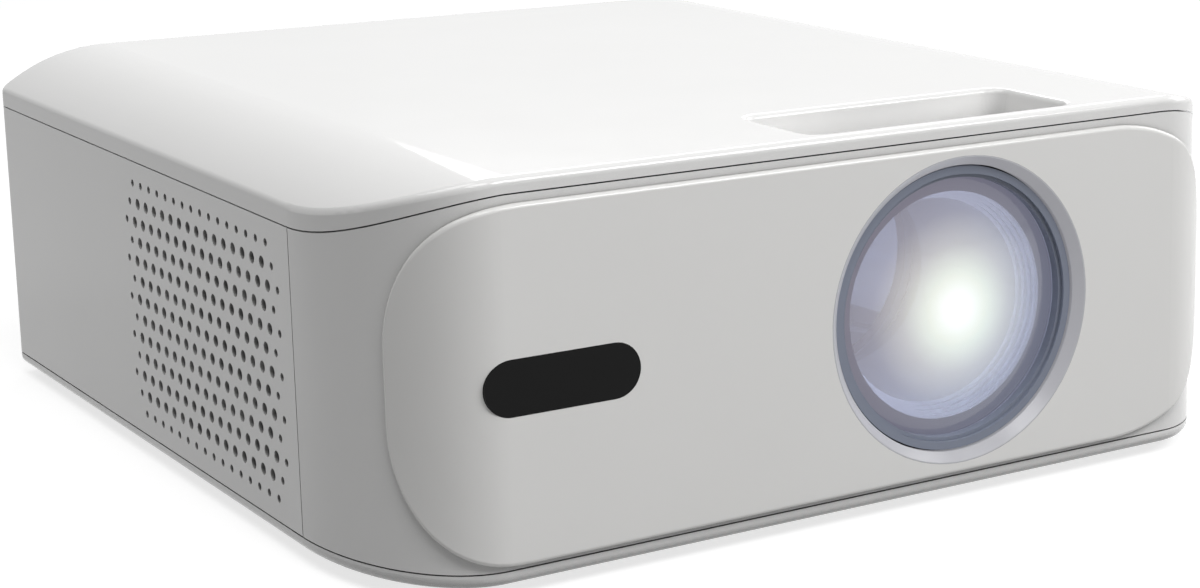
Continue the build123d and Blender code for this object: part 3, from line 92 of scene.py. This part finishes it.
def object_coords(tree, scale=(1, 1, 1)):
    """Coordinates in metres, in the model's frame."""
    coords = add(tree, "ShaderNodeTexCoord")
    mapping = add(tree, "ShaderNodeMapping")
    mapping.inputs["Scale"].default_value = scale
    tree.links.new(coords.outputs["Object"], mapping.inputs["Vector"])
    return mapping.outputs["Vector"]


def noise(tree, vector, scale, detail=2.0, roughness=0.5):
    node = add(tree, "ShaderNodeTexNoise")
    node.inputs["Scale"].default_value = scale
    node.inputs["Detail"].default_value = detail
    node.inputs["Roughness"].default_value = roughness
    tree.links.new(vector, node.inputs["Vector"])
    return node.outputs["Fac"]


def ramp(tree, value, low, high):
    """Maps 0..1 to low..high."""
    node = add(tree, "ShaderNodeMapRange")
    node.inputs["To Min"].default_value = low
    node.inputs["To Max"].default_value = high
    tree.links.new(value, node.inputs["Value"])
    return node.outputs["Result"]


def bump(tree, shader, height, distance):
    node = add(tree, "ShaderNodeBump")
    node.inputs["Distance"].default_value = distance
    node.inputs["Strength"].default_value = 1.0
    tree.links.new(height, node.inputs["Height"])
    tree.links.new(node.outputs["Normal"], shader.inputs["Normal"])


def two_tone(tree, shader, value, dark, light):
    """Base colour that wanders between two close tones."""
    mix = add(tree, "ShaderNodeMix", data_type="RGBA")
    mix.inputs["A"].default_value = (*dark, 1)
    mix.inputs["B"].default_value = (*light, 1)
    tree.links.new(value, mix.inputs["Factor"])
    tree.links.new(mix.outputs["Result"], shader.inputs["Base Color"])


def shade_gaps(tree, shader, depth):
    """Darkens the colour in narrow gaps and inner corners, as a contact shadow would."""
    open_sky = add(tree, "ShaderNodeAmbientOcclusion", samples=4, Distance=GAP_REACH)
    shade = add(tree, "ShaderNodeMix", data_type="RGBA", blend_type="MULTIPLY")
    shade.inputs["Factor"].default_value = 1.0
    link = shader.inputs["Base Color"].links[0]
    tree.links.new(link.from_socket, shade.inputs["A"])
    tree.links.new(ramp(tree, open_sky.outputs["AO"], 1.0 - depth, 1.0), shade.inputs["B"])
    tree.links.new(shade.outputs["Result"], shader.inputs["Base Color"])


def moulded(name, dark, light, rough_low, rough_high, grain=0.0, grain_scale=2500.0,
            metallic=0.0, specular=0.5, gap_shade=0.0, glow=0.0):
    """Moulded or cast material: two close tones and uneven gloss; at choice a fine grain, painted
    shade in gaps and inner corners, and a faint painted glow."""
    mat, tree, shader = new_material(name)
    coords = object_coords(tree)
    two_tone(tree, shader, noise(tree, coords, 18.0, 3.0), dark, light)
    if gap_shade > 0:
        shade_gaps(tree, shader, gap_shade)
    rough = ramp(tree, noise(tree, coords, 55.0, 4.0, 0.6), rough_low, rough_high)
    tree.links.new(rough, shader.inputs["Roughness"])
    shader.inputs["Metallic"].default_value = metallic
    shader.inputs["IOR"].default_value = PLASTIC_IOR
    shader.inputs["Specular IOR Level"].default_value = specular
    shader.inputs["Emission Color"].default_value = (*GLOW_TINT, 1)
    shader.inputs["Emission Strength"].default_value = glow
    if grain > 0:
        bump(tree, shader, noise(tree, coords, grain_scale, 2.0), grain)
    return mat


def brushed(name, dark, light, rough, stretch):
    """Metal with fine lines along one axis."""
    mat, tree, shader = new_material(name)
    coords = object_coords(tree, stretch)
    lines = noise(tree, coords, 600.0, 2.0, 0.6)
    two_tone(tree, shader, lines, dark, light)
    tree.links.new(ramp(tree, lines, rough * 0.8, rough * 1.2), shader.inputs["Roughness"])
    shader.inputs["Metallic"].default_value = 1.0
    bump(tree, shader, lines, BRUSH_DEPTH)
    return mat


def grey(value):
    return (value, value, value)


make_camera()

# gap_shade paints contact shadow into the colour of the shell's and fascia's gaps and inner
# corners
shell = moulded("shell_gloss", (0.78, 0.777, 0.77), (0.81, 0.807, 0.80), 0.06, 0.1,
                gap_shade=0.85)
fascia = moulded("fascia_gloss", (0.78, 0.775, 0.762), (0.81, 0.805, 0.792), 0.06, 0.1,
                 gap_shade=0.5)
black_gloss = moulded("window_gloss", grey(0.003), grey(0.005), 0.04, 0.08, specular=0.12)
# The bezel's glow is painted light: it stands in for the lit lens's glare over the ring
bezel = moulded("bezel_satin_painted_glow", (0.25, 0.25, 0.265), (0.28, 0.28, 0.295), 0.2, 0.3, glow=0.18)
lens_metal = moulded("lens_slate", (0.19, 0.21, 0.27), (0.21, 0.235, 0.3), 0.4, 0.5)
black_matt = moulded("black_matt", grey(0.012), grey(0.02), 0.5, 0.65, grain=1.5e-5)
rubber = moulded("rubber", grey(0.01), grey(0.018), 0.75, 0.9, grain=2e-5, grain_scale=1500)
steel = brushed("steel", grey(0.5), grey(0.62), 0.28, (1, 30, 30))
aluminium = brushed("aluminium", (0.62, 0.63, 0.64), (0.74, 0.75, 0.76), 0.3, (30, 1, 30))
brass = moulded("brass", (0.55, 0.38, 0.14), (0.66, 0.47, 0.2), 0.2, 0.32, metallic=1.0)
board = moulded("board", (0.008, 0.06, 0.02), (0.012, 0.085, 0.03), 0.3, 0.45, grain=1e-5)
copper = moulded("winding", (0.4, 0.26, 0.05), (0.5, 0.34, 0.08), 0.4, 0.55, grain=3e-5)


def make_glass(name, tint):
    """Clear glass with a faint tint, its node tree and its shader."""
    mat, tree, shader = new_material(name)
    coords = object_coords(tree)
    two_tone(tree, shader, noise(tree, coords, 30.0), tint, tuple(min(1, c * 1.03) for c in tint))
    shader.inputs["Transmission Weight"].default_value = 1.0
    shader.inputs["IOR"].default_value = GLASS_IOR
    gloss = ramp(tree, noise(tree, coords, 80.0), 0.0, 0.01)
    tree.links.new(gloss, shader.inputs["Roughness"])
    return mat, tree, shader


def make_port_look():
    """Plated shell at the mouth, black contact block behind it."""
    mat, tree, shader = new_material("port")
    coords = object_coords(tree)
    depth = add(tree, "ShaderNodeSeparateXYZ")
    tree.links.new(coords, depth.inputs["Vector"])
    mouth = add(tree, "ShaderNodeMath", operation="GREATER_THAN")
    mouth.inputs[1].default_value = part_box("hdmi_ports")[1][1] - PORT_MOUTH
    tree.links.new(depth.outputs["Y"], mouth.inputs[0])
    two_tone(tree, shader, noise(tree, coords, 400.0), grey(0.55), grey(0.66))
    plated = shader.inputs["Base Color"].links[0].from_socket
    mix = add(tree, "ShaderNodeMix", data_type="RGBA")
    mix.inputs["A"].default_value = (0.012, 0.012, 0.014, 1)
    tree.links.new(plated, mix.inputs["B"])
    tree.links.new(mouth.outputs["Value"], mix.inputs["Factor"])
    tree.links.new(mix.outputs["Result"], shader.inputs["Base Color"])
    tree.links.new(mouth.outputs["Value"], shader.inputs["Metallic"])
    tree.links.new(ramp(tree, mouth.outputs["Value"], 0.5, 0.3), shader.inputs["Roughness"])
    return mat


COATED_GLASS = (0.86, 0.9, 0.97)

port = make_port_look()
glass = make_glass("lens_glass", COATED_GLASS)[0]
lcd = make_glass("lcd_glass", (0.3, 0.3, 0.36))[0]
pickup_glass = make_glass("pickup_glass", (0.5, 0.6, 0.95))[0]
mirror = moulded("mirror", grey(0.9), grey(0.93), 0.02, 0.04, metallic=1.0)

# ---- Lit front lens ----
LENS_LOW, LENS_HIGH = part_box("front_lens")
LENS_R = (LENS_HIGH[0] - LENS_LOW[0]) / 2
LENS_AXIS = ((LENS_LOW[0] + LENS_HIGH[0]) / 2, LENS_LOW[1], (LENS_LOW[2] + LENS_HIGH[2]) / 2)
LENS_DOME = 4.3 * MM          # depth of the glass in which the glow shows
# The lamp's light in the glass, from the axis to the rim: share of the radius, and the colour
LENS_GLOW = (
    (0.0, (1.0, 1.0, 1.0)), (0.25, (0.7, 0.75, 0.65)), (0.5, (0.4, 0.4, 0.4)),
    (0.75, (0.2, 0.2, 0.25)), (1.0, (0.15, 0.15, 0.2)),
)
PINK_SIDE, BLUE_SIDE = (1.06, 0.98, 0.97), (0.93, 1.0, 1.03)
TOWARDS_BLUE = (0.75, 0, -0.45)       # direction across the glass


def lens_radius(tree):
    """Distance from the lens axis and offset across it, as shares of the radius, and the place
    behind the dome's apex in metres."""
    coords = add(tree, "ShaderNodeTexCoord")
    offset = add(tree, "ShaderNodeVectorMath", operation="SUBTRACT")
    offset.inputs[1].default_value = LENS_AXIS
    tree.links.new(coords.outputs["Object"], offset.inputs[0])
    flat = add(tree, "ShaderNodeVectorMath", operation="MULTIPLY")
    flat.inputs[1].default_value = (1 / LENS_R, 0, 1 / LENS_R)
    tree.links.new(offset.outputs["Vector"], flat.inputs[0])
    length = add(tree, "ShaderNodeVectorMath", operation="LENGTH")
    tree.links.new(flat.outputs["Vector"], length.inputs[0])
    return length.outputs["Value"], flat.outputs["Vector"], offset.outputs["Vector"]


def across(tree, vector, direction):
    """How far a point lies in one direction from the axis, as 0 to 1."""
    dot = add(tree, "ShaderNodeVectorMath", operation="DOT_PRODUCT")
    dot.inputs[1].default_value = direction
    tree.links.new(vector, dot.inputs[0])
    node = add(tree, "ShaderNodeMapRange")
    node.inputs["From Min"].default_value = -1.0
    tree.links.new(dot.outputs["Value"], node.inputs["Value"])
    return node.outputs["Result"]


def make_lit_glass():
    """Coated glass with the lamp's glow in it, pinkish to one side and bluish to the other."""
    mat, tree, shader = make_glass("lit_lens_glass", COATED_GLASS)
    radius, offset, place = lens_radius(tree)
    glow = add(tree, "ShaderNodeValToRGB")
    stops = glow.color_ramp.elements
    while len(stops) < len(LENS_GLOW):
        stops.new(0.5)
    for stop, (share, colour) in zip(stops, LENS_GLOW):
        stop.position = share
        stop.color = (*colour, 1)
    tree.links.new(radius, glow.inputs["Fac"])
    tint = add(tree, "ShaderNodeMix", data_type="RGBA")
    tint.inputs["A"].default_value = (*PINK_SIDE, 1)
    tint.inputs["B"].default_value = (*BLUE_SIDE, 1)
    tree.links.new(across(tree, offset, TOWARDS_BLUE), tint.inputs["Factor"])
    mix = add(tree, "ShaderNodeMix", data_type="RGBA", blend_type="MULTIPLY")
    mix.inputs["Factor"].default_value = 1.0
    tree.links.new(glow.outputs["Color"], mix.inputs["A"])
    tree.links.new(tint.outputs["Result"], mix.inputs["B"])
    tree.links.new(mix.outputs["Result"], shader.inputs["Emission Color"])
    depth = add(tree, "ShaderNodeSeparateXYZ")
    tree.links.new(place, depth.inputs["Vector"])
    dome = add(tree, "ShaderNodeMath", operation="LESS_THAN")
    dome.inputs[1].default_value = LENS_DOME
    tree.links.new(depth.outputs["Y"], dome.inputs[0])
    tree.links.new(dome.outputs["Value"], shader.inputs["Emission Strength"])
    return mat


lit_glass = make_lit_glass()

SLOT_LOOKS = {
    "shell": shell, "fascia": fascia, "window": black_gloss, "bezel": bezel,
    "lens_glass": glass, "lcd": lcd, "mirror": mirror, "black_plastic": black_matt,
    "steel": steel, "aluminium": aluminium, "brass": brass, "board": board,
    "transformer": copper, "pickup_glass": pickup_glass, "rubber": rubber,
}
NODE_LOOKS = {"front_lens": lit_glass, "lens_barrel": lens_metal, "lens_sleeve": lens_metal,
              "hdmi_ports": port, "usb_ports": port}


def dress_nodes():
    """Gives every CAD node its own look, or the look of its material slot."""
    slots = {part["node"]: part["material_slot"] for part in frame["record"]["subparts"]}
    for name, node in nodes.items():
        node.data.materials.clear()
        node.data.materials.append(NODE_LOOKS.get(name) or SLOT_LOOKS[slots[name]])


dress_nodes()


# ---- Floor, world and lamps ----
FLOOR_EDGE = 3.0              # from the middle to an edge
FLOOR_Z = -0.02 * MM          # just below the feet, so that their faces don't share its plane
FLOOR_BOUNCE = 0.3            # floor's colour for diffuse light, so that it lights the sides less
FLOOR_SHOWN = 0.42            # its colour where it is seen, directly or in a reflection
FLOOR_GLOW = 0.74             # and what it adds to that, up to white
SOFT_LIGHT = 0.06             # world's and floor's strength for diffuse light


def seen_rays(tree):
    """1 for camera, glossy and transmission rays, 0 for diffuse ones."""
    path = add(tree, "ShaderNodeLightPath")
    total = path.outputs["Is Camera Ray"]
    for other in ("Is Glossy Ray", "Is Transmission Ray"):
        both = add(tree, "ShaderNodeMath", operation="MAXIMUM")
        tree.links.new(total, both.inputs[0])
        tree.links.new(path.outputs[other], both.inputs[1])
        total = both.outputs["Value"]
    return total


def make_floor():
    mesh = bpy.data.meshes.new("floor")
    bm = bmesh.new()
    corners = [(-FLOOR_EDGE, -FLOOR_EDGE), (FLOOR_EDGE, -FLOOR_EDGE), (FLOOR_EDGE, FLOOR_EDGE),
               (-FLOOR_EDGE, FLOOR_EDGE)]
    bm.faces.new([bm.verts.new((x, y, FLOOR_Z)) for x, y in corners])
    bm.to_mesh(mesh)
    bm.free()
    floor = bpy.data.objects.new("floor", mesh)
    bpy.context.scene.collection.objects.link(floor)
    mat, tree, shader = new_material("floor")
    seen = seen_rays(tree)
    colour = ramp(tree, seen, FLOOR_BOUNCE, FLOOR_SHOWN)
    tree.links.new(colour, shader.inputs["Base Color"])
    tree.links.new(ramp(tree, seen, SOFT_LIGHT, FLOOR_GLOW), shader.inputs["Emission Strength"])
    shader.inputs["Emission Color"].default_value = (1, 1, 1, 1)
    shader.inputs["Roughness"].default_value = 0.9
    shader.inputs["Specular IOR Level"].default_value = 0.0
    # From below the floor lets the object's underside be seen
    side = add(tree, "ShaderNodeNewGeometry")
    clear = add(tree, "ShaderNodeBsdfTransparent")
    either = add(tree, "ShaderNodeMixShader")
    tree.links.new(side.outputs["Backfacing"], either.inputs["Fac"])
    tree.links.new(shader.outputs["BSDF"], either.inputs[1])
    tree.links.new(clear.outputs["BSDF"], either.inputs[2])
    tree.links.new(either.outputs["Shader"], tree.nodes["Material Output"].inputs["Surface"])
    floor.data.materials.append(mat)


def make_world():
    world = bpy.data.worlds.new("world")
    world.use_nodes = True
    tree = world.node_tree
    tree.nodes.clear()
    sky = add(tree, "ShaderNodeBackground")
    sky.inputs["Color"].default_value = (1, 1, 1, 1)
    tree.links.new(ramp(tree, seen_rays(tree), SOFT_LIGHT, 1.0), sky.inputs["Strength"])
    out = add(tree, "ShaderNodeOutputWorld")
    tree.links.new(sky.outputs["Background"], out.inputs["Surface"])
    bpy.context.scene.world = world


def softbox(name, place, target, width, height, power):
    data = bpy.data.lights.new(name, "AREA")
    data.shape = "RECTANGLE"
    data.size, data.size_y = width, height
    data.energy = power
    lamp = bpy.data.objects.new(name, data)
    bpy.context.scene.collection.objects.link(lamp)
    aim = (Vector(target) - Vector(place)).to_track_quat("-Z", "Y")
    lamp.matrix_world = Matrix.Translation(place) @ aim.to_matrix().to_4x4()


BODY_MIDDLE = (0, 0, 0.05)
LID_MIDDLE = (0, 0, 0.09)
RIGHT_SIDE = (0.05, 0, 0.05)
# Name, place, what it faces, width and height in metres, power in watts
SOFTBOXES = (
    ("top_light", (-0.5, 0.15, 1.5), LID_MIDDLE, 0.9, 0.9, 7.6),
    ("front_light", (-0.25, -0.9, 1.4), BODY_MIDDLE, 0.8, 0.6, 8.4),
    ("front_right_light", (0.7, -1.15, 1.15), BODY_MIDDLE, 0.8, 0.6, 13.0),
    ("right_light", (1.1, -0.2, 0.6), RIGHT_SIDE, 0.8, 0.6, 4.2),
    ("back_light", (1.0, 1.4, 0.8), BODY_MIDDLE, 0.9, 0.6, 6.0),
)

make_floor()
make_world()
for lamp in SOFTBOXES:
    softbox(*lamp)

bpy.context.scene.view_settings.view_transform = "Standard"
